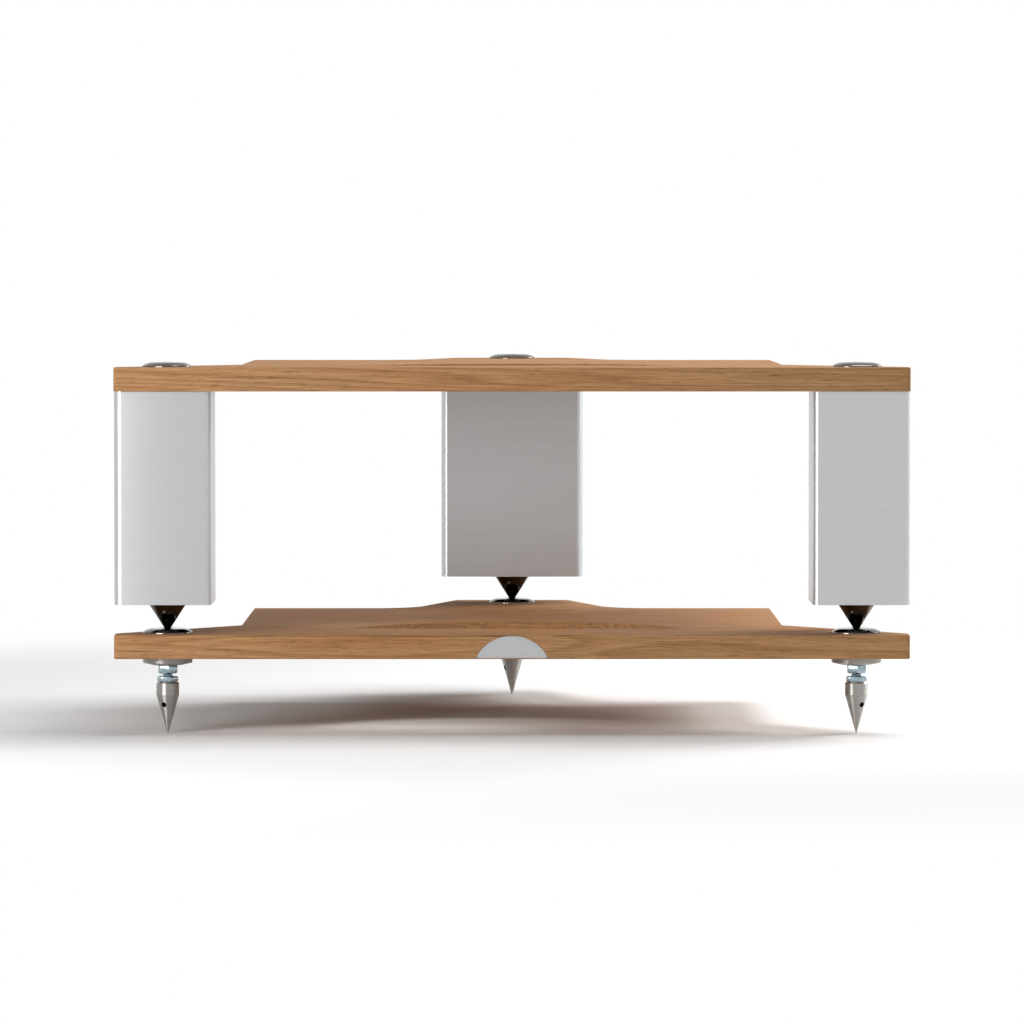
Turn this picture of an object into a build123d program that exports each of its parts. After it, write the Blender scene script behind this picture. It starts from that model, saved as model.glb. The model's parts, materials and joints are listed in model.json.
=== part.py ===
# Two-level audio rack. A base shelf on three spiked screw feet carries a second shelf on
# three extruded legs, and the spikes below those legs stand in cups on the base shelf.
# Millimetres, +Z up, front towards -Y. The origin is on the floor, under the middle of the rack.

import os
from math import atan2, cos, degrees, hypot, radians, sin

from build123d import *

# Shelf board. Depths run back from the front edge.
shelf_width = 596.0
shelf_depth = 475.0
board_thickness = 18.0
wing_side = 22.5             # straight side beside each front corner
waist_width = 416.0          # across the straight sides behind the wings
waist_start = 125.0          # depth where the slanted wing edge meets the waist
body_depth = 355.0           # depth of the main back edge
tab_root_width = 161.6       # tab sides carried on to the main back edge
tab_end_width = 92.6         # tab sides carried on to the rear edge
tab_root_radius = 40.0
tab_corner_radius = 4.0
wing_corner_radius = 3.0
waist_corner_radius = 1.5
edge_easing = 0.7            # bevel along the top and bottom edges

# D-shaped cut-out in each shelf
cutout_start = 82.0          # depth of its straight edge
cutout_width = 260.0
cutout_depth = 89.0
cutout_tip_radius = 3.0

# Stations: the three upright axes that cups, feet, rods, legs and spikes share
station_side_inset = 38.6    # from the shelf's side
station_front_inset = 30.0
station_rear_inset = 37.0

# M8 screw stock and its fits
thread_diameter = 8.0
thread_clearance = 0.05      # radial gap between a thread's crest and its bore
screw_hole_clearance = 0.3   # radial gap in the boards, flanges and legs
screw_chamfer = 0.8
screw_end_gap = 0.5          # between a screw's end and the bottom of its bore

# Cup on top of a shelf, turned
cup_diameter = 37.6
cup_height = 3.5
cup_rim = 0.9                # upright edge at the cup's foot
cup_top_diameter = 23.0
cup_shoulder_crown = 0.6     # how far the sloping shoulder swells
dimple_depth = 2.7
dimple_floor_diameter = 2.2
dimple_mouth_diameter = 9.0
cup_boss_diameter = 16.0
cup_boss_depth = 10.0
cup_boss_clearance = 0.1
cup_recess = 0.6             # shallow seat for the cup's rim in the board
cup_floor = 1.0              # top of the blind bore below the shelf's top face

# Foot under the base shelf, from the tip up
foot_tip_diameter = 1.0
foot_cone_height = 29.0
foot_diameter = 17.2
foot_collar_height = 9.5
foot_chamfer = 1.0
tommy_hole_diameter = 4.0
tommy_hole_drop = 7.4        # below the foot of the collar
foot_bore_depth = 14.0
foot_raise = 1.25            # room in the bore to screw the foot up by one turn
lock_nut_height = 4.5
shown_thread = 2.0
clamp_nut_height = 6.5
nut_across_flats = 14.0
nut_corner_chamfer = 0.7
flange_diameter = 37.5
flange_height = 6.0
flange_rim = 4.2             # upright edge above the sloping underside
flange_foot_diameter = 24.0

# Legs, cut from two hollow extrusions
leg_height = 160.0
leg_wall = 3.5
leg_front_inset = 4.0        # front face behind the shelf's front edge
leg_edge_inset = 3.4         # slanted faces inside the shelf's slanted edges
corner_leg_width = 72.6
corner_leg_bow = 1.2
corner_outer_radius = 6.0
corner_inner_radius = 5.0
corner_back_radius = 10.0
rear_leg_front_reach = 21.0  # front face ahead of the rear station
rear_leg_back_inset = 8.0
rear_leg_bow = 2.8
rear_leg_radius = 6.0
leg_boss_diameter = 18.0
leg_web = 3.0
port_diameter = 9.0          # boss that holds a locating dowel
port_offset = 8.0            # dowel axis from the outside of the faces beside it
dowel_diameter = 5.0
dowel_clearance = 0.05
dowel_length = 20.0
dowel_in_shelf = 9.0
dowel_end_gap = 0.5

# Spike under each leg
spike_tip_diameter = 1.2
spike_diameter = 28.0
spike_height = 21.5
spike_rim = 0.8
spike_bore_depth = 12.0

# Badge let into the base shelf's front edge, a plain circular segment
badge_width = 54.0
badge_height = 16.6
badge_thickness = 1.5
badge_rise = 0.9             # above the shelf's underside
badge_gap = 0.2

# Turn of each foot's tommy hole and nuts about its axis, in degrees
foot_turns = {"left": -114.0, "right": -51.0, "rear": -160.0}
clamp_nut_turns = {"left": 8.0, "right": 2.0, "rear": 20.0}
lock_nut_turns = {"left": 25.0, "right": 14.0, "rear": 5.0}

# Heights of the stack
foot_top = foot_cone_height + foot_collar_height
lock_nut_top = foot_top + lock_nut_height
clamp_nut_base = lock_nut_top + shown_thread
flange_base = clamp_nut_base + clamp_nut_height
base_underside = flange_base + flange_height
base_top = base_underside + board_thickness
spike_seat = base_top + cup_height - dimple_depth
leg_base = spike_seat + spike_height
upper_underside = leg_base + leg_height
upper_top = upper_underside + board_thickness

half_width = shelf_width / 2
thread_bore = thread_diameter + 2 * thread_clearance
screw_hole = thread_diameter + 2 * screw_hole_clearance
cup_bore_top = -cup_floor    # from the shelf's top face

stations = {
    "left": (station_side_inset - half_width, station_front_inset),
    "right": (half_width - station_side_inset, station_front_inset),
    "rear": (0.0, shelf_depth - station_rear_inset),
}


def plan(shape, height=0.0):
    # From depths behind the front edge to the rack's own frame.
    return Pos(0, -shelf_depth / 2, height) * shape


def at_station(name, shape, height=0.0):
    x, depth = stations[name]
    return plan(Pos(x, depth) * shape, height)


def turned(profile):
    # A lathe part from edges in the XZ plane.
    return revolve(Face(Wire(profile)), Axis.Z, 360)


def profile_lines(*points):
    places = [Vector(radius, 0, height) for radius, height in points]
    return [Line(a, b).edge() for a, b in zip(places, places[1:])]


def mirrored(points):
    return list(points) + [(-x, y, radius) for x, y, radius in reversed(points)]


def tab_half_width(depth):
    share = (depth - body_depth) / (shelf_depth - body_depth)
    return (tab_root_width + (tab_end_width - tab_root_width) * share) / 2


# The shelf board

def shelf_outline():
    right = [
        (half_width, 0, wing_corner_radius),
        (half_width, wing_side, wing_corner_radius),
        (waist_width / 2, waist_start, waist_corner_radius),
        (waist_width / 2, body_depth, waist_corner_radius),
        (tab_root_width / 2, body_depth, tab_root_radius),
        (tab_end_width / 2, shelf_depth, tab_corner_radius),
    ]
    corners = mirrored(right)
    line = FilletPolyline(
        *[(x, y) for x, y, _ in corners],
        radius=[radius for _, _, radius in corners],
        close=True,
    )
    return make_face(line.edges())


def cutout_outline():
    left = (-cutout_width / 2, cutout_start)
    right = (cutout_width / 2, cutout_start)
    far = (0, cutout_start + cutout_depth)
    face = make_face([Line(left, right).edge(), ThreePointArc(right, far, left).edge()]).face()
    return face.fillet_2d(cutout_tip_radius, face.vertices())


def shelf_board():
    board = extrude(shelf_outline() - cutout_outline(), board_thickness).solid()
    layers = board.edges().group_by(Axis.Z)
    board = board.chamfer(edge_easing, None, layers[0] + layers[-1])
    for x, depth in stations.values():
        board -= Pos(x, depth) * extrude(Circle(screw_hole / 2), board_thickness)
        for diameter, sink in ((cup_boss_diameter, cup_boss_depth), (cup_diameter, cup_recess)):
            seat = extrude(Circle(diameter / 2 + cup_boss_clearance), sink)
            board -= Pos(x, depth, board_thickness - sink) * seat
    return board


def badge_segment(growth):
    radius = (badge_width**2 / 4 + badge_height**2) / (2 * badge_height)
    disc = Pos(0, badge_height - radius) * Circle(radius + growth)
    above_chord = Pos(0, -growth) * Rectangle(
        badge_width * 2, badge_height * 2, align=(Align.CENTER, Align.MIN)
    )
    return disc & above_chord


def badge_plate(growth):
    # Stands upright with its outer face in the plane of the shelf's front edge.
    upright = Rot(90, 0, 0) * extrude(badge_segment(growth), -badge_thickness)
    return Pos(0, 0, badge_rise) * upright


# The legs' two extrusions

def rounded_section(corners, bow):
    # Corners run anticlockwise as (x, depth, radius). The first edge is the bowed front face.
    places = [(x, y) for x, y, _ in corners]
    start, end = places[0], places[1]
    middle = ((start[0] + end[0]) / 2, start[1] - bow)
    edges = [ThreePointArc(start, middle, end).edge()]
    for a, b in zip(places[1:], places[2:] + places[:1]):
        edges.append(Line(a, b).edge())
    face = make_face(edges).face()
    for x, y, radius in corners:
        corner = face.vertices().sort_by_distance((x, y, 0))[0]
        face = face.fillet_2d(radius, [corner])
    return face


def hollow_section(outer, axis, web_angles, ports):
    # Wall, screw boss on the station's axis, webs from boss to wall, and ribbed dowel ports.
    reach = corner_leg_width + rear_leg_front_reach
    inside = Pos(*axis) * Circle(leg_boss_diameter / 2)
    for angle in web_angles:
        web = Rectangle(reach, leg_web, align=(Align.MIN, Align.CENTER))
        inside += Pos(*axis) * Rot(0, 0, angle) * web
    for x, depth, angle in ports:
        rib = Rectangle(reach, leg_web, align=(Align.MIN, Align.CENTER))
        inside += Pos(x, depth) * Circle(port_diameter / 2)
        inside += Pos(x, depth) * Rot(0, 0, angle) * rib
    section = outer - offset(outer, -leg_wall, kind=Kind.INTERSECTION) + (inside & outer)
    section -= Pos(*axis) * Circle(screw_hole / 2)
    for x, depth, _ in ports:
        section -= Pos(x, depth) * Circle(dowel_diameter / 2 + dowel_clearance)
    return section


wing_run = (half_width - waist_width / 2, waist_start - wing_side)
wing_slope = wing_run[1] / wing_run[0]
wing_length = hypot(*wing_run)
wing_normal = (wing_run[1] / wing_length, wing_run[0] / wing_length)


def wing_inset_depth(x):
    # Depth of the line that runs inside the right wing's slanted edge.
    start_x = half_width - leg_edge_inset * wing_normal[0]
    start_depth = wing_side - leg_edge_inset * wing_normal[1]
    return start_depth + (start_x - x) * wing_slope


corner_inner_x = half_width - corner_leg_width
corner_ports = [
    (half_width - 1.5 * port_offset, leg_front_inset + port_offset, -90),
    (corner_inner_x + port_offset, wing_inset_depth(corner_inner_x + 4 * port_offset), 180),
]
rear_station_depth = stations["rear"][1]
rear_front = rear_station_depth - rear_leg_front_reach
rear_back = shelf_depth - rear_leg_back_inset
tab_lean = atan2((tab_root_width - tab_end_width) / 2, shelf_depth - body_depth)


def rear_half_width(depth):
    return tab_half_width(depth) - leg_edge_inset / cos(tab_lean)


rear_port_x = rear_half_width(rear_front) - 1.5 * port_offset
rear_ports = [(side * rear_port_x, rear_front + port_offset, -90) for side in (-1, 1)]


def corner_section():
    outer_end = wing_inset_depth(half_width)
    outer_radius = min(corner_outer_radius, (outer_end - leg_front_inset) * 0.6)
    outer = rounded_section(
        [
            (corner_inner_x, leg_front_inset, corner_inner_radius),
            (half_width, leg_front_inset, outer_radius),
            (half_width, outer_end, outer_radius),
            (corner_inner_x, wing_inset_depth(corner_inner_x), corner_back_radius),
        ],
        corner_leg_bow,
    )
    to_wing = degrees(atan2(wing_normal[1], wing_normal[0]))
    return hollow_section(outer, stations["right"], (-90, 180, to_wing), corner_ports)


def rear_section():
    front = rear_half_width(rear_front)
    back = rear_half_width(rear_back)
    outer = rounded_section(
        [
            (-front, rear_front, rear_leg_radius),
            (front, rear_front, rear_leg_radius),
            (back, rear_back, rear_leg_radius),
            (-back, rear_back, rear_leg_radius),
        ],
        rear_leg_bow,
    )
    return hollow_section(outer, stations["rear"], (-90, 0, 90, 180), rear_ports)


# Turned pieces, each on the Z axis

def cup():
    top = cup_top_diameter / 2
    rim = cup_diameter / 2
    break_radius = (top + rim) / 2
    break_height = (cup_height + cup_rim) / 2 + cup_shoulder_crown
    floor = cup_height - dimple_depth
    return turned(profile_lines(
        (0, cup_bore_top), (0, floor), (dimple_floor_diameter / 2, floor),
        (dimple_mouth_diameter / 2, cup_height), (top, cup_height),
        (break_radius, break_height), (rim, cup_rim), (rim, -cup_recess),
        (cup_boss_diameter / 2, -cup_recess), (cup_boss_diameter / 2, -cup_boss_depth),
        (thread_bore / 2, -cup_boss_depth), (thread_bore / 2, cup_bore_top), (0, cup_bore_top),
    ))


def foot_spike(turn):
    outer = foot_diameter / 2
    bore = thread_bore / 2
    bore_floor = foot_top - foot_bore_depth
    body = turned(profile_lines(
        (0, 0), (foot_tip_diameter / 2, 0), (outer, foot_cone_height),
        (outer, foot_top - foot_chamfer), (outer - foot_chamfer, foot_top),
        (bore, foot_top), (bore, bore_floor), (0, bore_floor), (0, 0),
    ))
    hole = Cylinder(tommy_hole_diameter / 2, 2 * foot_diameter, rotation=(0, 90, 0))
    return body - Pos(0, 0, foot_cone_height - tommy_hole_drop) * Rot(0, 0, turn) * hole


def nut(height, turn):
    hexagon = RegularPolygon(nut_across_flats / 2, 6, major_radius=False)
    block = extrude(Rot(0, 0, turn) * hexagon, height)
    reach = nut_across_flats / 2 / cos(radians(30))
    turned_off = turned(profile_lines(
        (0, 0), (reach - nut_corner_chamfer, 0), (reach, nut_corner_chamfer / 2),
        (reach, height - nut_corner_chamfer / 2), (reach - nut_corner_chamfer, height),
        (0, height), (0, 0),
    ))
    return (block & turned_off) - extrude(Circle(thread_bore / 2), height)


def flange():
    outer = flange_diameter / 2
    bore = screw_hole / 2
    return turned(profile_lines(
        (bore, 0), (flange_foot_diameter / 2, 0), (outer, flange_height - flange_rim),
        (outer, flange_height), (bore, flange_height), (bore, 0),
    ))


def screw(low, high):
    rod = Cylinder(thread_diameter / 2, high - low, align=(Align.CENTER, Align.CENTER, Align.MIN))
    rod = rod.solid()
    ends = rod.edges().filter_by(GeomType.CIRCLE)
    return Pos(0, 0, low) * rod.chamfer(screw_chamfer, None, ends)


def leg_spike():
    outer = spike_diameter / 2
    bore = thread_bore / 2
    bore_floor = spike_height - spike_bore_depth
    return turned(profile_lines(
        (0, 0), (spike_tip_diameter / 2, 0), (outer, spike_height - spike_rim),
        (outer, spike_height), (bore, spike_height), (bore, bore_floor), (0, bore_floor), (0, 0),
    ))


# Whole pieces in place

def base_shelf():
    board = shelf_board() - badge_plate(badge_gap)
    return plan(board, base_underside)


def dowel_places():
    right = [(x, depth) for x, depth, _ in corner_ports]
    left = [(-x, depth) for x, depth in right]
    return left + right + [(x, depth) for x, depth, _ in rear_ports]


def upper_shelf():
    board = shelf_board()
    hole = Circle(dowel_diameter / 2 + dowel_clearance)
    for x, depth in dowel_places():
        board -= Pos(x, depth) * extrude(hole, dowel_in_shelf + dowel_end_gap)
    return plan(board, upper_underside)


def dowels():
    low = upper_underside + dowel_in_shelf - dowel_length
    pin = extrude(Circle(dowel_diameter / 2), dowel_length)
    return Compound([plan(Pos(x, depth) * pin, low).solid() for x, depth in dowel_places()])


def foot_stud(name):
    low = foot_top - foot_bore_depth + foot_raise + screw_end_gap
    return at_station(name, screw(low, base_top + cup_bore_top - screw_end_gap))


def tie_rod(name):
    low = leg_base - spike_bore_depth + screw_end_gap
    return at_station(name, screw(low, upper_top + cup_bore_top - screw_end_gap))


def leg(name):
    section = rear_section() if name == "rear" else corner_section()
    if name == "left":
        section = mirror(section, Plane.YZ)
    return plan(extrude(section, leg_height, dir=(0, 0, 1)), leg_base)


parts = {
    "base_shelf": base_shelf(),
    "badge": plan(badge_plate(0), base_underside),
    "upper_shelf": upper_shelf(),
    "leg_dowels": dowels(),
}
for name in stations:
    parts[f"foot_spike_{name}"] = at_station(name, foot_spike(foot_turns[name]))
    parts[f"lock_nut_{name}"] = at_station(name, nut(lock_nut_height, lock_nut_turns[name]), foot_top)
    parts[f"clamp_nut_{name}"] = at_station(
        name, nut(clamp_nut_height, clamp_nut_turns[name]), clamp_nut_base
    )
    parts[f"foot_flange_{name}"] = at_station(name, flange(), flange_base)
    parts[f"foot_stud_{name}"] = foot_stud(name)
    parts[f"base_cup_{name}"] = at_station(name, cup(), base_top)
    parts[f"leg_spike_{name}"] = at_station(name, leg_spike(), spike_seat)
    parts[f"leg_{name}"] = leg(name)
    parts[f"tie_rod_{name}"] = tie_rod(name)
    parts[f"upper_cup_{name}"] = at_station(name, cup(), upper_top)

os.makedirs("parts", exist_ok=True)
for node, shape in parts.items():
    export_step(shape, f"parts/{node}.step")
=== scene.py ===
import json
import bmesh
import bpy
from math import atan2, cos, degrees, pi, radians, sin, tan
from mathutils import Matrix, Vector


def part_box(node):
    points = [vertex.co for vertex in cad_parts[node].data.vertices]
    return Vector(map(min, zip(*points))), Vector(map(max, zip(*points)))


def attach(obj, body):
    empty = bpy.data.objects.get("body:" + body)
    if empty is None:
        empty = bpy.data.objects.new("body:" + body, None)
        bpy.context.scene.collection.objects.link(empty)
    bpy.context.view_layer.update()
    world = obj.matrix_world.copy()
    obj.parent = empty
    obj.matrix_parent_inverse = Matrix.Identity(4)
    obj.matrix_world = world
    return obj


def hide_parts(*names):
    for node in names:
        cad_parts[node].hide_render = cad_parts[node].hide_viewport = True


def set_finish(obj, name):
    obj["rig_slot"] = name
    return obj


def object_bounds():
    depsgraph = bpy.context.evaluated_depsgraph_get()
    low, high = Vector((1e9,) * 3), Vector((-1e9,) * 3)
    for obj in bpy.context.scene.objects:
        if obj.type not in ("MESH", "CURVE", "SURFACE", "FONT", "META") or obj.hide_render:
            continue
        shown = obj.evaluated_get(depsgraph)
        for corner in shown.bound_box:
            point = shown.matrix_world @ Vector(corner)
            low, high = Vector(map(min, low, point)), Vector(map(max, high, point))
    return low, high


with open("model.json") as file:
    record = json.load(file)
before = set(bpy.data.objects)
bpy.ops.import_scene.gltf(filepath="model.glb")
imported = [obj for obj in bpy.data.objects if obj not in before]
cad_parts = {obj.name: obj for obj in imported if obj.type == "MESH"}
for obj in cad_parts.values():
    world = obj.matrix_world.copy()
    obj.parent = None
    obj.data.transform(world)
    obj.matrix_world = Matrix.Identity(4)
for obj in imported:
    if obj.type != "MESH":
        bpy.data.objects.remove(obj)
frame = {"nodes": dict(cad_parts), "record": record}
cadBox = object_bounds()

mm = 0.001
sides = ("left", "right", "rear")


# Small tools

def clearSelection():
    if bpy.context.object and bpy.context.object.mode != "OBJECT":
        bpy.ops.object.mode_set(mode="OBJECT")
    bpy.ops.object.select_all(action="DESELECT")


def makeActive(piece):
    clearSelection()
    piece.select_set(True)
    bpy.context.view_layer.objects.active = piece


def startEdit(piece, kind="FACE"):
    makeActive(piece)
    bpy.ops.object.mode_set(mode="EDIT")
    bpy.ops.mesh.select_mode(type=kind)
    bpy.ops.mesh.select_all(action="DESELECT")


def endEdit():
    bpy.ops.object.mode_set(mode="OBJECT")


def pick(piece, kind, test):
    # Selects what passes the test in edit mode: faces by middle and normal, edges by middle,
    # direction and the fold between their faces.
    shape = bmesh.from_edit_mesh(piece.data)
    for face in shape.faces:
        face.select_set(False)
    for edge in shape.edges:
        edge.select_set(False)
    found = 0
    if kind == "FACE":
        for face in shape.faces:
            if test(face.calc_center_median(), face.normal):
                face.select_set(True)
                found += 1
    else:
        for edge in shape.edges:
            a, b = edge.verts[0].co, edge.verts[1].co
            fold = degrees(edge.calc_face_angle(0))
            if test((a + b) / 2, (b - a).normalized(), fold):
                edge.select_set(True)
                found += 1
    bmesh.update_edit_mesh(piece.data)
    return found


def finishWith(piece, kind, **settings):
    # Adds one modifier, sets it and applies it.
    makeActive(piece)
    step = piece.modifiers.new(kind.lower(), kind)
    for key, value in settings.items():
        setattr(step, key, value)
    bpy.ops.object.modifier_apply(modifier=step.name)


def cutAway(piece, cutter):
    finishWith(piece, "BOOLEAN", operation="DIFFERENCE", object=cutter, solver="EXACT")
    bpy.data.objects.remove(cutter)


def settlePlace(piece):
    makeActive(piece)
    bpy.ops.object.transform_apply(location=True, rotation=True, scale=True)


def tidyNormals(piece, smoothAngle=None):
    startEdit(piece, "VERT")
    bpy.ops.mesh.select_all(action="SELECT")
    bpy.ops.mesh.remove_doubles(threshold=0.000002)
    bpy.ops.mesh.normals_make_consistent(inside=False)
    endEdit()
    if smoothAngle is not None:
        makeActive(piece)
        bpy.ops.object.shade_smooth_by_angle(angle=radians(smoothAngle))


def nameIt(piece, name):
    piece.name = name
    piece.data.name = name
    return piece


def turnedPiece(name, rings, place, steps=96, smoothAngle=35):
    # A lathe part: a disc that is extruded from ring to ring. Rings are (height, radius) in mm.
    height, radius = rings[0]
    x, y, z = place
    bpy.ops.mesh.primitive_circle_add(
        vertices=steps, radius=radius * mm, fill_type="NGON", location=(x, y, z + height * mm)
    )
    piece = bpy.context.active_object
    settlePlace(piece)
    startEdit(piece, "FACE")
    bpy.ops.mesh.select_all(action="SELECT")
    for nextHeight, nextRadius in rings[1:]:
        bpy.ops.mesh.extrude_region_move(
            TRANSFORM_OT_translate={"value": (0, 0, (nextHeight - height) * mm)}
        )
        share = nextRadius / radius
        bpy.ops.transform.resize(
            value=(share, share, 1), center_override=(x, y, z + nextHeight * mm)
        )
        height, radius = nextHeight, nextRadius
    endEdit()
    tidyNormals(piece, smoothAngle)
    return nameIt(piece, name)


def station(side, node):
    low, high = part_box(node + "_" + side)
    return (low.x + high.x) / 2, (low.y + high.y) / 2, low.z, high.z


# Shelf boards. Depths run back from the front edge, in mm.

board = {
    "width": 596.0,
    "depth": 475.0,
    "thickness": 18.0,
    "wingSide": 22.5,
    "waistWidth": 416.0,
    "waistStart": 125.0,
    "bodyDepth": 355.0,
    "tabRootWidth": 161.6,
    "tabEndWidth": 92.6,
    "tabRootRadius": 40.0,
    "tabCornerRadius": 4.0,
    "wingCornerRadius": 3.0,
    "cutoutStart": 82.0,
    "cutoutWidth": 260.0,
    "cutoutDepth": 89.0,
    "cutoutTipRadius": 3.0,
    "easing": 0.8,
    "arcSteps": 160,
    "cupDiameter": 37.6,
    "cupSeatGap": 0.1,
    "cupSeatDepth": 0.6,
    "screwHole": 8.6,
}


def frontY():
    return cadBox[0][1]


def boardHalfWidth(depth):
    # Half the board's width at a depth, before its corners are rounded.
    half = board["width"] / 2
    waist = board["waistWidth"] / 2
    if depth < board["wingSide"]:
        return half
    if depth < board["waistStart"]:
        share = (depth - board["wingSide"]) / (board["waistStart"] - board["wingSide"])
        return half + (waist - half) * share
    if depth < board["bodyDepth"]:
        return waist
    share = (depth - board["bodyDepth"]) / (board["depth"] - board["bodyDepth"])
    return (board["tabRootWidth"] + (board["tabEndWidth"] - board["tabRootWidth"]) * share) / 2


def boardCuts():
    # Lines that divide the blank along the board's outline, as a place and a normal.
    cuts = [((0, board[key]), (0, 1)) for key in ("wingSide", "waistStart", "bodyDepth")]
    waist = board["waistWidth"] / 2
    corners = (
        (board["width"] / 2, board["wingSide"], waist, board["waistStart"]),
        (waist, board["waistStart"], waist, board["bodyDepth"]),
        (board["tabRootWidth"] / 2, board["bodyDepth"], board["tabEndWidth"] / 2, board["depth"]),
    )
    for ax, ay, bx, by in corners:
        for sign in (-1, 1):
            cuts.append(((sign * ax, ay), (by - ay, -sign * (bx - ax))))
    return cuts


def roundUprights(piece, places, radius):
    # Bevels the upright edges at the given plan places, each to an arc of the radius.
    for x, depth, turn in places:
        startEdit(piece, "EDGE")
        spot = Vector((x * mm, frontY() + depth * mm))

        def isThere(middle, direction, fold):
            return abs(direction.z) > 0.99 and (middle.xy - spot).length < 0.001

        if pick(piece, "EDGE", isThere):
            tangent = radius * tan(radians(turn) / 2)
            bpy.ops.mesh.bevel(
                offset=tangent * mm, offset_type="OFFSET", segments=max(4, int(turn / 5)),
                profile=0.5, affect="EDGES",
            )
        endEdit()


def cutoutTool(underside):
    rise = board["cutoutDepth"]
    half = board["cutoutWidth"] / 2
    radius = (half * half + rise * rise) / (2 * rise)
    centreY = frontY() + (board["cutoutStart"] + rise - radius) * mm
    startY = frontY() + board["cutoutStart"] * mm
    bpy.ops.mesh.primitive_cylinder_add(
        vertices=board["arcSteps"], radius=radius * mm, depth=3 * board["thickness"] * mm,
        location=(0, centreY, underside + board["thickness"] * mm / 2),
    )
    tool = bpy.context.active_object
    settlePlace(tool)
    startEdit(tool, "FACE")
    bpy.ops.mesh.select_all(action="SELECT")
    bpy.ops.mesh.bisect(
        plane_co=(0, startY, 0), plane_no=(0, 1, 0), use_fill=True, clear_inner=True
    )
    endEdit()
    tipTurn = 180 - degrees(atan2(half, radius - rise))
    tips = [(sign * half, board["cutoutStart"], tipTurn) for sign in (-1, 1)]
    roundUprights(tool, tips, board["cutoutTipRadius"])
    tidyNormals(tool)
    return tool


def cylinderTool(x, y, low, high, diameter, steps=96):
    bpy.ops.mesh.primitive_cylinder_add(
        vertices=steps, radius=diameter * mm / 2, depth=high - low,
        location=(x, y, (low + high) / 2),
    )
    tool = bpy.context.active_object
    settlePlace(tool)
    return tool


def easeRims(piece, underside, top):
    # Rounds the board's top and bottom rims, but not the cups' seats or the badge's pocket.
    startEdit(piece, "EDGE")
    centres = [Vector(station(side, "base_cup")[:2]) for side in sides]
    clear = board["cupDiameter"] * mm / 2 + 2 * mm
    badgeLow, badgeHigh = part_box("badge")

    def isRim(middle, direction, fold):
        level = min(abs(middle.z - underside), abs(middle.z - top)) < 0.00001
        inSeat = any((middle.xy - centre).length < clear for centre in centres)
        inPocket = abs(middle.x) < badgeHigh.x and 0 < middle.y - badgeLow.y < 0.003
        return abs(direction.z) < 0.01 and fold > 60 and level and not inSeat and not inPocket

    pick(piece, "EDGE", isRim)
    bpy.ops.mesh.bevel(
        offset=board["easing"] * mm, offset_type="OFFSET", segments=3, profile=0.5,
        affect="EDGES", miter_outer="ARC",
    )
    endEdit()


def shelfBoard(name, node, cupNode, tools=()):
    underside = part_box(node)[0].z
    thickness = board["thickness"] * mm
    middleY = frontY() + board["depth"] * mm / 2
    bpy.ops.mesh.primitive_plane_add(size=1, location=(0, middleY, underside))
    piece = bpy.context.active_object
    piece.scale = (board["width"] * mm, board["depth"] * mm, 1)
    settlePlace(piece)
    for (x, depth), (nx, ny) in boardCuts():
        startEdit(piece, "FACE")
        bpy.ops.mesh.select_all(action="SELECT")
        bpy.ops.mesh.bisect(
            plane_co=(x * mm, frontY() + depth * mm, underside),
            plane_no=Vector((nx, ny, 0)).normalized(),
        )
        endEdit()
    startEdit(piece, "FACE")

    def isOffcut(middle, normal):
        return abs(middle.x) / mm > boardHalfWidth((middle.y - frontY()) / mm) + 0.01

    pick(piece, "FACE", isOffcut)
    bpy.ops.mesh.delete(type="FACE")
    bpy.ops.mesh.select_all(action="SELECT")
    bpy.ops.mesh.dissolve_limited(angle_limit=radians(0.5))
    bpy.ops.mesh.select_all(action="SELECT")
    bpy.ops.mesh.extrude_region_move(TRANSFORM_OT_translate={"value": (0, 0, thickness)})
    endEdit()
    tidyNormals(piece)
    half = board["width"] / 2
    wingTurn = degrees(atan2(half - board["waistWidth"] / 2,
                             board["waistStart"] - board["wingSide"]))
    lean = degrees(atan2((board["tabRootWidth"] - board["tabEndWidth"]) / 2,
                         board["depth"] - board["bodyDepth"]))
    for sign in (-1, 1):
        roundUprights(piece, [(sign * half, 0, 90), (sign * half, board["wingSide"], wingTurn)],
                      board["wingCornerRadius"])
        roundUprights(piece, [(sign * board["tabRootWidth"] / 2, board["bodyDepth"], 90 - lean)],
                      board["tabRootRadius"])
        roundUprights(piece, [(sign * board["tabEndWidth"] / 2, board["depth"], 90 - lean)],
                      board["tabCornerRadius"])
    cutAway(piece, cutoutTool(underside))
    top = underside + thickness
    for side in sides:
        x, y, low, high = station(side, cupNode)
        seat = board["cupDiameter"] + 2 * board["cupSeatGap"]
        cutAway(piece, cylinderTool(x, y, top - board["cupSeatDepth"] * mm, top + thickness, seat))
        cutAway(piece, cylinderTool(x, y, underside - thickness, top, board["screwHole"], 48))
    for tool in tools:
        cutAway(piece, tool)
    tidyNormals(piece)
    easeRims(piece, underside, top)
    tidyNormals(piece, 30)
    finishWith(piece, "WEIGHTED_NORMAL", keep_sharp=True, weight=100)
    nameIt(piece, name)
    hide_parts(node)
    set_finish(piece, "cherry_veneer")
    return piece


# Cups, spikes and feet, all turned

cupShape = {
    "height": 3.5,
    "rim": 0.9,
    "topDiameter": 23.0,
    "crown": 0.6,
    "dimpleDepth": 2.7,
    "dimpleFloor": 2.2,
    "dimpleMouth": 9.0,
    "edgeBreak": 0.25,
    "recess": 0.6,
    "shoulderSteps": 12,
    "rimLean": 0.4,      # shares of the edge break
    "mouthLean": 0.5,
    "swellShare": 0.9,   # how much of the crown rises
}


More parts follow.
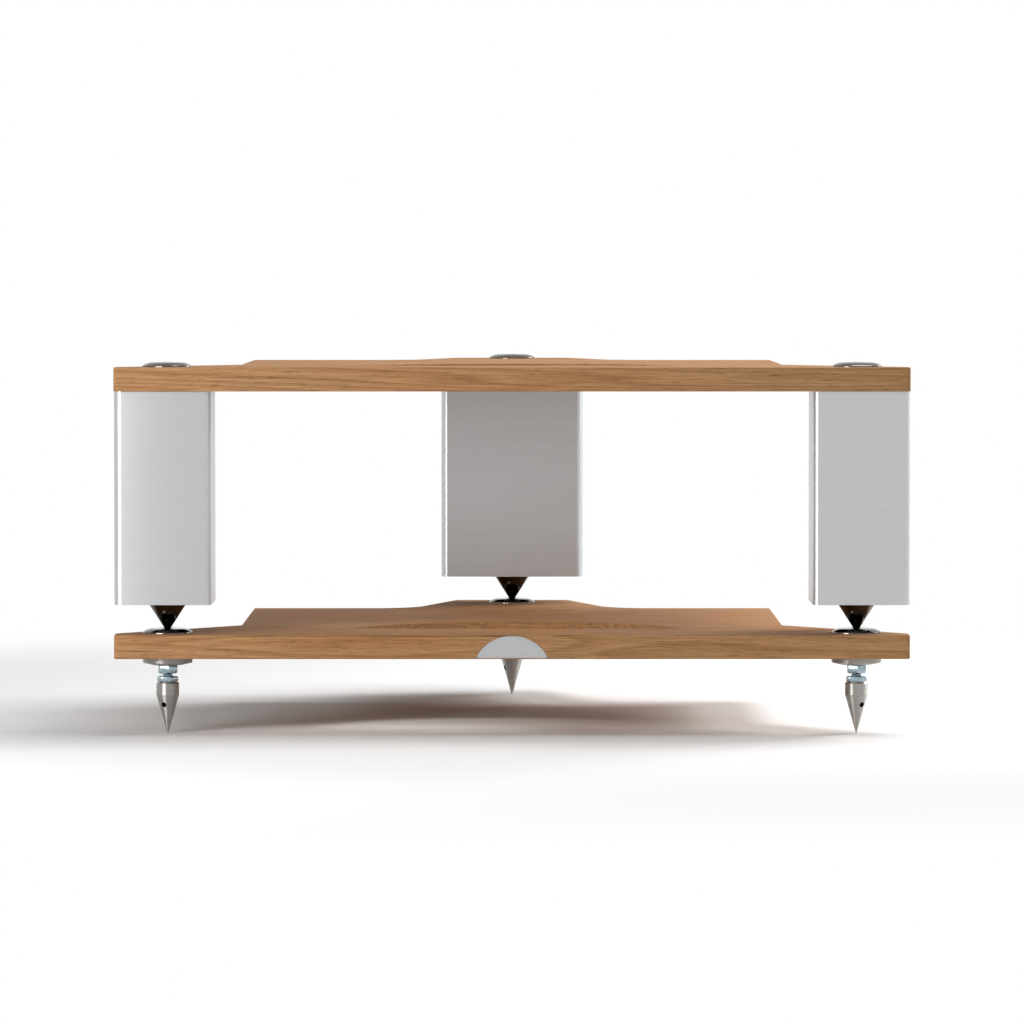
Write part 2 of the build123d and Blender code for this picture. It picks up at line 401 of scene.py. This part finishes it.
def cupRings():
    # From the rim's foot, over the swollen shoulder and the flat top, down into the dimple.
    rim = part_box("base_cup_left")[1].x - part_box("base_cup_left")[0].x
    outer = rim / mm / 2
    top = cupShape["topDiameter"] / 2
    high = cupShape["height"]
    edge = cupShape["edgeBreak"]
    rings = [(-cupShape["recess"], outer), (cupShape["rim"] - edge, outer)]
    rings.append((cupShape["rim"], outer - edge * cupShape["rimLean"]))
    steps = cupShape["shoulderSteps"]
    for step in range(1, steps):
        share = step / steps
        swell = cupShape["crown"] * 4 * share * (1 - share)
        rise = (high - cupShape["rim"]) * share + swell * cupShape["swellShare"]
        rings.append((cupShape["rim"] + rise, outer + (top - outer) * share))
    mouth = cupShape["dimpleMouth"] / 2
    floor = cupShape["dimpleFloor"] / 2
    rings += [(high, top), (high, mouth + edge), (high - edge * cupShape["mouthLean"], mouth),
              (high - cupShape["dimpleDepth"], floor)]
    return rings


def cup(name, node, side):
    x, y, low, high = station(side, node)
    seat = high - cupShape["height"] * mm
    piece = turnedPiece(name, cupRings(), (x, y, seat), 128, 28)
    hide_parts(node + "_" + side)
    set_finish(piece, "black_chrome")
    return piece


legSpikeShape = {
    "tip": 1.2,
    "diameter": 28.0,
    "rim": 0.8,
    "edgeBreak": 0.2,
    "tipLean": 0.6,   # shares of the edge break
    "rimLean": 0.7,
    "rimRise": 0.5,
}


def legSpike(side):
    x, y, low, high = station(side, "leg_spike")
    tall = (high - low) / mm
    outer = legSpikeShape["diameter"] / 2
    rim = legSpikeShape["rim"]
    edge = legSpikeShape["edgeBreak"]
    rings = [
        (0, legSpikeShape["tip"] / 2 - edge),
        (edge * legSpikeShape["tipLean"], legSpikeShape["tip"] / 2),
        (tall - rim - edge, outer - edge * legSpikeShape["rimLean"]),
        (tall - rim + edge * legSpikeShape["rimRise"], outer),
        (tall - edge, outer), (tall, outer - edge),
    ]
    piece = turnedPiece(side + "LegSpike", rings, (x, y, low), 128, 28)
    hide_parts("leg_spike_" + side)
    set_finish(piece, "black_chrome")
    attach(piece, "upper_level")
    return piece


footShape = {
    "tip": 1.0,
    "cone": 29.0,
    "diameter": 17.2,
    "collar": 9.5,
    "chamfer": 1.0,
    "tommyHole": 4.0,
    "tommyDrop": 7.4,
    "boreMargin": 0.05,
    "tipBreak": 0.15,
    "tipRise": 0.25,
    "shoulderDrop": 0.3,
    "shoulderInset": 0.12,
    "land": 0.2,
    "mouth": 10.0,
    "recessWidth": 8.4,
    "recess": 0.8,
    "turns": {"left": -114.0, "right": -51.0, "rear": -160.0},
}


def footSpike(side):
    # Turned with a shallow recess on top and without the bore that its solid has, so the stud's
    # end stands inside the metal here.
    x, y, low, high = station(side, "foot_spike")
    outer = footShape["diameter"] / 2
    cone = footShape["cone"]
    tall = cone + footShape["collar"]
    chamfer = footShape["chamfer"]
    rings = [
        (0, footShape["tip"] / 2 - footShape["tipBreak"]),
        (footShape["tipRise"], footShape["tip"] / 2),
        (cone - footShape["shoulderDrop"], outer - footShape["shoulderInset"]),
        (cone, outer), (cone + footShape["land"], outer),
        (tall - chamfer, outer), (tall, outer - chamfer), (tall, footShape["mouth"] / 2),
        (tall - footShape["recess"], footShape["recessWidth"] / 2),
    ]
    piece = turnedPiece(side + "FootSpike", rings, (x, y, low), 128, 28)
    turn = radians(footShape["turns"][side])
    bpy.ops.mesh.primitive_cylinder_add(
        vertices=48, radius=footShape["tommyHole"] * mm / 2, depth=4 * outer * mm,
        location=(x, y, low + (cone - footShape["tommyDrop"]) * mm),
        rotation=(0, pi / 2, turn),
    )
    tool = bpy.context.active_object
    settlePlace(tool)
    cutAway(piece, tool)
    tidyNormals(piece, 28)
    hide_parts("foot_spike_" + side)
    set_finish(piece, "turned_steel")
    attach(piece, side + "_foot")
    return piece


flangeShape = {
    "diameter": 37.5,
    "height": 6.0,
    "rim": 4.2,
    "foot": 24.0,
    "edgeBreak": 0.3,
    "footRise": 0.12,
    "rimRise": 0.15,
}


def flange(side):
    x, y, low, high = station(side, "foot_flange")
    outer = flangeShape["diameter"] / 2
    foot = flangeShape["foot"] / 2
    edge = flangeShape["edgeBreak"]
    start = flangeShape["height"] - flangeShape["rim"]
    tall = flangeShape["height"]
    rings = [
        (0, foot - edge), (flangeShape["footRise"], foot),
        (start - flangeShape["rimRise"], outer - edge), (start + flangeShape["rimRise"], outer),
        (tall - edge, outer), (tall, outer - edge),
    ]
    piece = turnedPiece(side + "FootFlange", rings, (x, y, low), 128, 28)
    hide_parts("foot_flange_" + side)
    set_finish(piece, "turned_steel")
    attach(piece, "root")
    return piece


nutShape = {
    "acrossFlats": 14.0,
    "cornerAngle": 30.0,
    "mouth": 8.6,
    "threadStep": 0.4,
    "cornerFall": 0.25,
    "toolReach": 0.5,
    "endInset": 0.3,
    "edgeBreak": 0.12,
    "clampTurns": {"left": 8.0, "right": 2.0, "rear": 20.0},
    "lockTurns": {"left": 25.0, "right": 14.0, "rear": 5.0},
}


def hexNut(name, node, side, turn, body):
    # A hexagon whose corners are turned off to a shallow cone at both ends.
    x, y, low, high = station(side, node)
    flats = nutShape["acrossFlats"] / 2
    corner = flats / cos(radians(30))
    bpy.ops.mesh.primitive_cylinder_add(
        vertices=6, radius=corner * mm, depth=high - low, location=(x, y, (low + high) / 2),
        rotation=(0, 0, radians(turn)),
    )
    piece = bpy.context.active_object
    settlePlace(piece)
    tall = (high - low) / mm
    fall = (corner - flats) * tan(radians(nutShape["cornerAngle"])) + nutShape["cornerFall"]
    reach = corner + nutShape["toolReach"]
    inset = nutShape["endInset"]
    outside = fall * (reach - flats + inset) / (corner - flats + inset)
    tool = turnedPiece(
        name + "Tool",
        [(0, flats - inset), (outside, reach), (tall - outside, reach), (tall, flats - inset)],
        (x, y, low), 96, None,
    )
    finishWith(piece, "BOOLEAN", operation="INTERSECT", object=tool, solver="EXACT")
    bpy.data.objects.remove(tool)
    thread = nutShape["mouth"] - nutShape["threadStep"]
    cutAway(piece, cylinderTool(x, y, low - mm, high + mm, thread, 48))
    finishWith(piece, "BEVEL", width=nutShape["edgeBreak"] * mm, segments=2, limit_method="ANGLE",
               angle_limit=radians(25))
    tidyNormals(piece, 30)
    nameIt(piece, name)
    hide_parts(node + "_" + side)
    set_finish(piece, "zinc_plate")
    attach(piece, body)
    return piece


studShape = {
    "diameter": 8.0,
    "pitch": 1.25,
    "threadDepth": 0.65,
    "stepsPerTurn": 36,
    "flank": (0.1, 0.9),     # shares of the pitch where the flanks leave the root
    "crest": (0.44, 0.56),   # and where the crest begins and ends
}


def footStud(side):
    # A screw thread swept up a helix, closed at its ends inside the cup and the foot.
    x, y, low, high = station(side, "foot_stud")
    pitch = studShape["pitch"] * mm
    turns = int((high - low) / pitch) - 1
    crest = studShape["diameter"] * mm / 2
    root = crest - studShape["threadDepth"] * mm
    bpy.ops.mesh.primitive_plane_add(size=pitch, location=(0, 0, 0))
    piece = bpy.context.active_object
    shape = bmesh.new()
    leave, back = studShape["flank"]
    begin, end = studShape["crest"]
    levels = ((0, root), (leave, root), (begin, crest), (end, crest), (back, root), (1.0, root))
    points = [shape.verts.new((radius, 0, share * pitch)) for share, radius in levels]
    for a, b in zip(points, points[1:]):
        shape.edges.new((a, b))
    shape.to_mesh(piece.data)
    shape.free()
    finishWith(piece, "SCREW", angle=2 * pi, screw_offset=pitch, iterations=turns,
               steps=studShape["stepsPerTurn"], render_steps=studShape["stepsPerTurn"],
               axis="Z", use_merge_vertices=True, merge_threshold=0.000002)
    startEdit(piece, "VERT")
    bpy.ops.mesh.select_all(action="SELECT")
    bpy.ops.mesh.remove_doubles(threshold=0.000002)
    bpy.ops.mesh.select_all(action="DESELECT")
    bpy.ops.mesh.select_non_manifold(extend=False)
    bpy.ops.mesh.edge_face_add()
    endEdit()
    rise = (high - low - (turns + 1) * pitch) / 2
    piece.location = (x, y, low + rise)
    settlePlace(piece)
    tidyNormals(piece, 40)
    nameIt(piece, side + "FootStud")
    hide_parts("foot_stud_" + side)
    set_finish(piece, "zinc_plate")
    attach(piece, "root")
    return piece


# Legs: a merged copy of the extrusion, so that its bowed face and rounded corners shade smoothly

legShape = {"edgeBreak": 0.25, "flatAngle": 0.05, "edgeAngle": 70, "smoothAngle": 30}


def leg(side):
    source = frame["nodes"]["leg_" + side]
    piece = source.copy()
    piece.data = source.data.copy()
    bpy.context.scene.collection.objects.link(piece)
    for key in list(piece.keys()):
        del piece[key]
    piece.parent = None
    piece.hide_render = False
    piece.hide_viewport = False
    startEdit(piece, "VERT")
    bpy.ops.mesh.select_all(action="SELECT")
    bpy.ops.mesh.remove_doubles(threshold=0.000002)
    bpy.ops.mesh.select_all(action="SELECT")
    bpy.ops.mesh.dissolve_limited(angle_limit=radians(legShape["flatAngle"]))
    endEdit()
    finishWith(piece, "BEVEL", width=legShape["edgeBreak"] * mm, segments=2,
               limit_method="ANGLE", angle_limit=radians(legShape["edgeAngle"]))
    makeActive(piece)
    bpy.ops.object.shade_smooth_by_angle(angle=radians(legShape["smoothAngle"]))
    finishWith(piece, "WEIGHTED_NORMAL", keep_sharp=True, weight=100)
    nameIt(piece, side + "Leg")
    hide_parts("leg_" + side)
    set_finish(piece, "brushed_aluminium")
    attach(piece, "upper_level")
    return piece


# Badge: a plain circular segment let into the front edge

badgeShape = {"edgeBreak": 0.2, "steps": 180, "rim": 1.0, "recess": 0.3, "pocketGap": 0.2}


def badge():
    low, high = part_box("badge")
    width = high.x - low.x
    tall = high.z - low.z
    thick = high.y - low.y
    radius = (width * width / 4 + tall * tall) / (2 * tall)
    bpy.ops.mesh.primitive_cylinder_add(
        vertices=badgeShape["steps"], radius=radius, depth=thick,
        location=(0, (low.y + high.y) / 2, high.z - radius), rotation=(pi / 2, 0, 0),
    )
    piece = bpy.context.active_object
    settlePlace(piece)
    startEdit(piece, "FACE")
    bpy.ops.mesh.select_all(action="SELECT")
    bpy.ops.mesh.bisect(
        plane_co=(0, 0, low.z), plane_no=(0, 0, 1), use_fill=True, clear_inner=True
    )
    bpy.ops.mesh.select_all(action="DESELECT")
    pick(piece, "FACE", lambda middle, normal: normal.y < -0.99)
    bpy.ops.mesh.inset(thickness=badgeShape["rim"] * mm, depth=0)
    bpy.ops.mesh.extrude_region_move(
        TRANSFORM_OT_translate={"value": (0, badgeShape["recess"] * mm, 0)}
    )
    endEdit()
    finishWith(piece, "BEVEL", width=badgeShape["edgeBreak"] * mm / 2, segments=3,
               limit_method="ANGLE", angle_limit=radians(30))
    tidyNormals(piece, 35)
    finishWith(piece, "WEIGHTED_NORMAL", keep_sharp=True, weight=100)
    nameIt(piece, "frontBadge")
    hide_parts("badge")
    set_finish(piece, "blasted_aluminium")
    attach(piece, "root")
    return piece


def badgePocketTool():
    low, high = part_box("badge")
    gap = badgeShape["pocketGap"] * mm
    width = high.x - low.x
    tall = high.z - low.z
    radius = (width * width / 4 + tall * tall) / (2 * tall) + gap
    bpy.ops.mesh.primitive_cylinder_add(
        vertices=badgeShape["steps"], radius=radius, depth=2 * (high.y - low.y),
        location=(0, low.y, high.z + gap - radius), rotation=(pi / 2, 0, 0),
    )
    tool = bpy.context.active_object
    settlePlace(tool)
    startEdit(tool, "FACE")
    bpy.ops.mesh.select_all(action="SELECT")
    bpy.ops.mesh.bisect(
        plane_co=(0, 0, low.z - gap), plane_no=(0, 0, 1), use_fill=True, clear_inner=True
    )
    endEdit()
    tidyNormals(tool)
    return tool


# Materials

def linear(hexColour):
    # An sRGB hex value as linear red, green, blue and alpha.
    channels = [int(hexColour[i:i + 2], 16) / 255 for i in (1, 3, 5)]
    return tuple(
        c / 12.92 if c <= 0.04045 else ((c + 0.055) / 1.055) ** 2.4 for c in channels
    ) + (1,)


def grey(value):
    return (value, value, value, 1)


def addNode(tree, kind, inputs=None, stops=(), **settings):
    # One node with its settings, its fixed inputs, its links and, on a ramp, its colour stops.
    node = tree.nodes.new(kind)
    for key, value in settings.items():
        setattr(node, key, value)
    for key, value in (inputs or {}).items():
        if isinstance(value, bpy.types.NodeSocket):
            tree.links.new(value, node.inputs[key])
        else:
            node.inputs[key].default_value = value
    for index, (spot, colour) in enumerate(stops):
        ramp = node.color_ramp.elements
        if index >= len(ramp):
            ramp.new(spot)
        ramp[index].position = spot
        ramp[index].color = colour
    return node


def newMaterial(name, **fixed):
    # The fixed values go straight on the shader's own sockets.
    material = bpy.data.materials.new(name)
    material.use_nodes = True
    tree = material.node_tree
    tree.nodes.clear()
    shader = addNode(tree, "ShaderNodeBsdfPrincipled")
    for key, value in fixed.items():
        shader.inputs[key.replace("_", " ")].default_value = value
    addNode(tree, "ShaderNodeOutputMaterial", {"Surface": shader.outputs[0]})
    return material, tree, shader, addNode(tree, "ShaderNodeTexCoord").outputs["Object"]


def mottle(tree, place, size, **settings):
    # A random pattern whose marks measure size, in mm, along x, y and z.
    stretch = addNode(tree, "ShaderNodeMapping",
                      {"Vector": place, "Scale": [1 / (length * mm) for length in size]})
    inputs = {"Vector": stretch.outputs[0], "Scale": 1.0}
    inputs.update(settings)
    return addNode(tree, "ShaderNodeTexNoise", inputs).outputs[0]


def surface(tree, shader, pattern, roughFrom, roughTo, bumpHeight=0.0):
    # Lets a pattern vary the gloss and, where it has a height in mm, raise the surface.
    rough = addNode(tree, "ShaderNodeMapRange", {
        "Value": pattern, "From Min": 0.3, "From Max": 0.7, "To Min": roughFrom, "To Max": roughTo,
    })
    tree.links.new(rough.outputs[0], shader.inputs["Roughness"])
    if bumpHeight:
        bump = addNode(tree, "ShaderNodeBump",
                       {"Strength": 1.0, "Distance": bumpHeight * mm, "Height": pattern})
        tree.links.new(bump.outputs[0], shader.inputs["Normal"])


cherry = {
    "drift": (820.0, 62.0, 34.0),   # mm that the growth rings wander over
    "rings": 21.0,                  # growth lines for one full swing of the drift
    "cloud": (300.0, 90.0, 40.0),   # mm, broad changes of tone
    "fibre": (34.0, 0.75, 0.75),    # mm, drawn about three times as coarse as real fibres
    "pore": (9.0, 0.55, 0.55),      # mm, drawn coarse enough to show
    "fleck": (17.0, 1.5, 1.5),      # mm, gum flecks
    "early": "#b58c63",
    "mid": "#a4764f",
    "late": "#875e40",
    "warm": "#b07c51",
    "pale": "#b48e66",
    "tooth": 0.012,                 # mm
    "toneShare": 0.48,
    "gloss": (0.66, 0.56),
    "sheen": 0.04,                  # low, since the boards show almost no reflection
}


def cherryVeneer():
    # American cherry veneer under nearly matt lacquer: warm brown, growth lines that run along the
    # board's width and close into long flames, short dark gum flecks, fine fibres and pores.
    material, tree, shader, place = newMaterial(
        "cherryVeneer", Specular_IOR_Level=cherry["sheen"], IOR=1.5
    )
    drift = mottle(tree, place, cherry["drift"], Detail=2.0, Roughness=0.35, Distortion=0.25)
    rings = addNode(tree, "ShaderNodeMath", {0: drift, 1: cherry["rings"]}, operation="MULTIPLY")
    ring = addNode(tree, "ShaderNodeMath", {0: rings.outputs[0]}, operation="FRACT")
    figure = addNode(tree, "ShaderNodeValToRGB", {"Fac": ring.outputs[0]}, [
        (0.0, linear(cherry["mid"])), (0.16, linear(cherry["early"])),
        (0.70, linear(cherry["mid"])), (0.94, linear(cherry["late"])), (1.0, linear(cherry["mid"])),
    ])
    cloud = mottle(tree, place, cherry["cloud"], Detail=3.0)
    tone = addNode(tree, "ShaderNodeValToRGB", {"Fac": cloud},
                   [(0.35, linear(cherry["warm"])), (0.65, linear(cherry["pale"]))])
    colour = addNode(tree, "ShaderNodeMix", {
        0: cherry["toneShare"], 6: figure.outputs[0], 7: tone.outputs[0],
    }, data_type="RGBA").outputs[2]
    fibre = mottle(tree, place, cherry["fibre"], Detail=3.0, Roughness=0.65)
    pore = mottle(tree, place, cherry["pore"], Detail=1.0)
    fleck = mottle(tree, place, cherry["fleck"], Detail=1.0)
    # Each pattern darkens the wood by its share, between two greys at two levels.
    darkenings = (
        (fibre, 0.95, [(0.34, grey(0.66)), (0.56, grey(1.0))]),
        (pore, 0.7, [(0.28, grey(0.52)), (0.38, grey(1.0))]),
        (fleck, 0.8, [(0.70, grey(1.0)), (0.75, grey(0.55))]),
    )
    for pattern, share, stops in darkenings:
        shade = addNode(tree, "ShaderNodeValToRGB", {"Fac": pattern}, stops)
        colour = addNode(tree, "ShaderNodeMix", {0: share, 6: colour, 7: shade.outputs[0]},
                         data_type="RGBA", blend_type="MULTIPLY").outputs[2]
    tree.links.new(colour, shader.inputs["Base Color"])
    surface(tree, shader, fibre, *cherry["gloss"], cherry["tooth"])
    return material


# What sets the metals apart: marks in mm, two tones, the gloss between two roughnesses and how
# far the marks spread a highlight across themselves

metals = {
    "brushedAluminium": {
        "marks": (120.0, 120.0, 0.5), "detail": 3.0, "dark": "#babbbd", "light": "#c1c2c4",
        "gloss": (0.30, 0.33), "tooth": 0.0006, "spread": 0.6,
    },
    "blackChrome": {
        "marks": (40.0, 40.0, 0.6), "detail": 1.0, "dark": "#58524c", "light": "#625b54",
        "gloss": (0.06, 0.10), "tooth": 0.0,
    },
    "turnedSteel": {
        "marks": (60.0, 60.0, 0.35), "detail": 1.0, "dark": "#a29f9b", "light": "#b0ada9",
        "gloss": (0.38, 0.44), "tooth": 0.0, "spread": 0.95,
    },
    "zincPlate": {
        "marks": (3.0, 3.0, 3.0), "detail": 4.0, "dark": "#83959e", "light": "#a9bac1",
        "gloss": (0.09, 0.18), "tooth": 0.0,
    },
    "brightSteel": {
        "marks": (2.0, 2.0, 30.0), "detail": 2.0, "dark": "#b0b0b0", "light": "#bcbcbb",
        "gloss": (0.2, 0.3), "tooth": 0.0,
    },
    # painted shade: a near-black finish for the inside of the foot's cross hole
    "paintedBoreShade": {
        "marks": (1.0, 1.0, 1.0), "detail": 2.0, "dark": "#2a2825", "light": "#3a3733",
        "gloss": (0.5, 0.6), "tooth": 0.0,
    },
    "blastedAluminium": {
        "marks": (0.55, 0.55, 0.55), "detail": 2.0, "dark": "#a4a5a6", "light": "#b8b9ba",
        "gloss": (0.44, 0.54), "tooth": 0.07,
    },
}


def metal(name):
    look = metals[name]
    spread = look.get("spread", 0.0)
    material, tree, shader, place = newMaterial(
        name, Metallic=1.0, Anisotropic=spread, Anisotropic_Rotation=0.25 if spread else 0.0
    )
    marks = mottle(tree, place, look["marks"], Detail=look["detail"], Roughness=0.6)
    colour = addNode(tree, "ShaderNodeValToRGB", {"Fac": marks},
                     [(0.3, linear(look["dark"])), (0.7, linear(look["light"]))])
    tree.links.new(colour.outputs[0], shader.inputs["Base Color"])
    surface(tree, shader, marks, *look["gloss"], look["tooth"])
    return material


def brushedAluminium():
    # Extruded aluminium, brushed round the section and clear anodised: a pale satin grey with
    # faint level lines that spread highlights up and down.
    return metal("brushedAluminium")


def blackChrome():
    # Black nickel chrome on turned steel: a near-black mirror with a warm cast.
    return metal("blackChrome")


def turnedSteel():
    # Stainless steel as it left the lathe: bright, with rings too fine to count, which draw
    # every highlight out along the piece.
    return metal("turnedSteel")


def zincPlate():
    # Bright zinc with a blue passivate: pale metal, cool cast, slightly cloudy.
    return metal("zincPlate")


def brightSteel():
    # Ground dowel steel, drawn lengthways.
    return metal("brightSteel")


def blastedAluminium():
    # Cast aluminium, bead blasted: dull light grey with a fine even tooth.
    return metal("blastedAluminium")


def paintedBoreShade():
    # The wall of the foot's cross hole, painted near black as the shade inside the hole, and rough.
    return metal("paintedBoreShade")


def paint(piece, material):
    piece.data.materials.clear()
    piece.data.materials.append(material)


def paintBoreShade(piece, side, material):
    # Gives the wall of a foot's cross hole a darker finish, as painted shade inside the hole.
    x, y, low, high = station(side, "foot_spike")
    middle = Vector((x, y, low + (footShape["cone"] - footShape["tommyDrop"]) * mm))
    turn = radians(footShape["turns"][side])
    along = Vector((cos(turn), sin(turn), 0))
    reach = (footShape["tommyHole"] / 2 + footShape["boreMargin"]) * mm
    piece.data.materials.append(material)
    for face in piece.data.polygons:
        if abs(face.normal.dot(along)) < 0.2 and (face.center - middle).cross(along).length < reach:
            face.material_index = 1


# Build

finishes = {
    "cherry_veneer": cherryVeneer(),
    "brushed_aluminium": brushedAluminium(),
    "black_chrome": blackChrome(),
    "turned_steel": turnedSteel(),
    "zinc_plate": zincPlate(),
    "bright_steel": brightSteel(),
    "blasted_aluminium": blastedAluminium(),
}
print("materials ready")

clearSelection()
baseBoard = shelfBoard("baseShelf", "base_shelf", "base_cup", [badgePocketTool()])
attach(baseBoard, "root")
upperBoard = shelfBoard("upperShelf", "upper_shelf", "upper_cup")
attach(upperBoard, "upper_level")
print("shelves ready")

pieces = [baseBoard, upperBoard, badge()]
for side in sides:
    pieces.append(cup(side + "BaseCup", "base_cup", side))
    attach(pieces[-1], "root")
    pieces.append(cup(side + "UpperCup", "upper_cup", side))
    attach(pieces[-1], "upper_level")
    pieces.append(legSpike(side))
    pieces.append(footSpike(side))
    pieces.append(flange(side))
    pieces.append(footStud(side))
    clampTurn = nutShape["clampTurns"][side]
    lockTurn = nutShape["lockTurns"][side]
    pieces.append(hexNut(side + "ClampNut", "clamp_nut", side, clampTurn, "root"))
    pieces.append(hexNut(side + "LockNut", "lock_nut", side, lockTurn, side + "_lock_nut"))
    pieces.append(leg(side))
print("turned pieces, nuts and legs ready")

for piece in pieces:
    paint(piece, finishes[piece["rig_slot"]])
# the cross holes' walls are painted dark as the shade inside them
bore = paintedBoreShade()
for side in sides:
    paintBoreShade(bpy.data.objects[side + "FootSpike"], side, bore)
slotOfNode = {row["node"]: row["material_slot"] for row in frame["record"]["subparts"]}
for name, node in frame["nodes"].items():
    finish = finishes[slotOfNode[name]]
    for slot in node.material_slots:
        slot.material = finish
print("finishes on")


# Floor, light and camera

studio = {
    "pixel": 0.000747,        # metres a photo pixel covers at the front edge
    "cameraBack": 4.5,        # camera ahead of the front edge
    "cameraHeight": 0.353,
    "horizonRow": 264.0,
    "frameSize": 1024,
    "sensor": 36.0,
    "floorSize": 80.0,
    "paper": 0.86,
    "shadowReach": (0.55, 1.1),       # metres from the rack's middle, shadow kept to pure white
    "roomEdge": 0.18,                 # how soft the room's change from dim to bright is
    "roomLight": (0.16, 0.3),
}


def whiteRays(tree):
    # 1 for what the camera, a reflection or glass sees, and 0 for light that falls on things.
    rays = addNode(tree, "ShaderNodeLightPath")
    either = addNode(tree, "ShaderNodeMath", {
        0: rays.outputs["Is Camera Ray"], 1: rays.outputs["Is Glossy Ray"],
    }, operation="MAXIMUM")
    return addNode(tree, "ShaderNodeMath", {
        0: either.outputs[0], 1: rays.outputs["Is Transmission Ray"],
    }, operation="MAXIMUM").outputs[0]


def stageFloor():
    # Pale paper that keeps the shadow near the rack and turns pure white further out.
    bpy.ops.mesh.primitive_plane_add(size=studio["floorSize"])
    floor = bpy.context.active_object
    nameIt(floor, "studioFloor")
    material = bpy.data.materials.new("whitePaper")
    material.use_nodes = True
    tree = material.node_tree
    tree.nodes.clear()
    place = addNode(tree, "ShaderNodeTexCoord").outputs["Object"]
    reach = addNode(tree, "ShaderNodeVectorMath", {0: place}, operation="LENGTH")
    near, far = studio["shadowReach"]
    fade = addNode(tree, "ShaderNodeMapRange", {
        "Value": reach.outputs["Value"], "From Min": near, "From Max": far,
    }, interpolation_type="SMOOTHSTEP")
    share = addNode(tree, "ShaderNodeMath", {0: fade.outputs[0], 1: whiteRays(tree)},
                    operation="MULTIPLY")
    paper = addNode(tree, "ShaderNodeBsdfDiffuse", {"Color": grey(studio["paper"])})
    white = addNode(tree, "ShaderNodeEmission", {"Color": grey(1.0), "Strength": 1.0})
    both = addNode(tree, "ShaderNodeMixShader",
                   {0: share.outputs[0], 1: paper.outputs[0], 2: white.outputs[0]})
    addNode(tree, "ShaderNodeOutputMaterial", {"Surface": both.outputs[0]})
    paint(floor, material)


# Name, place, target, width, height and watts
softboxes = (
    ("keyLeft", (-0.9, -1.1, 0.4), (-0.1, 0, 0.15), 0.6, 0.6, 11),
    ("rearRight", (1.4, 0.8, 0.9), (0.1, 0, 0.05), 0.9, 0.7, 26),
    ("overhead", (0.6, 0.1, 1.9), (0, 0, 0), 1.3, 1.1, 24),
)


def softbox(name, place, target, width, height, power):
    light = bpy.data.lights.new(name, "AREA")
    light.shape = "RECTANGLE"
    light.size = width
    light.size_y = height
    light.energy = power
    lamp = bpy.data.objects.new(name, light)
    lamp.location = place
    lamp.rotation_euler = (Vector(target) - Vector(place)).to_track_quat("-Z", "Y").to_euler()
    bpy.context.scene.collection.objects.link(lamp)


def studioWorld():
    # White to the camera, in reflections and through glass. The light that falls on the rack
    # comes from a room that is dimmer on the left.
    world = bpy.data.worlds.new("studioWorld")
    bpy.context.scene.world = world
    world.use_nodes = True
    tree = world.node_tree
    tree.nodes.clear()
    direction = addNode(tree, "ShaderNodeTexCoord").outputs["Generated"]
    sideways = addNode(tree, "ShaderNodeSeparateXYZ", {0: direction})
    edge = studio["roomEdge"]
    dim, bright = studio["roomLight"]
    level = addNode(tree, "ShaderNodeMapRange", {
        "Value": sideways.outputs[0], "From Min": -edge, "From Max": edge,
        "To Min": dim, "To Max": bright,
    }, interpolation_type="SMOOTHSTEP")
    room = addNode(tree, "ShaderNodeBackground",
                   {"Color": grey(1.0), "Strength": level.outputs[0]})
    white = addNode(tree, "ShaderNodeBackground", {"Color": grey(1.0), "Strength": 1.0})
    seen = addNode(tree, "ShaderNodeMixShader",
                   {0: whiteRays(tree), 1: room.outputs[0], 2: white.outputs[0]})
    addNode(tree, "ShaderNodeOutputWorld", {"Surface": seen.outputs[0]})


def photoCamera():
    focal = studio["cameraBack"] / studio["pixel"]
    camera = bpy.data.cameras.new("photoCamera")
    camera.sensor_width = studio["sensor"]
    camera.lens = focal * studio["sensor"] / studio["frameSize"]
    camera.clip_end = 200
    holder = bpy.data.objects.new("photoCamera", camera)
    holder.location = (0, frontY() - studio["cameraBack"], studio["cameraHeight"])
    dip = atan2(studio["frameSize"] / 2 - studio["horizonRow"], focal)
    holder.rotation_euler = (pi / 2 - dip, 0, 0)
    bpy.context.scene.collection.objects.link(holder)
    bpy.context.scene.camera = holder


stageFloor()
studioWorld()
for settings in softboxes:
    softbox(*settings)
photoCamera()
bpy.context.scene.view_settings.view_transform = "Standard"
print("floor, light and camera ready")
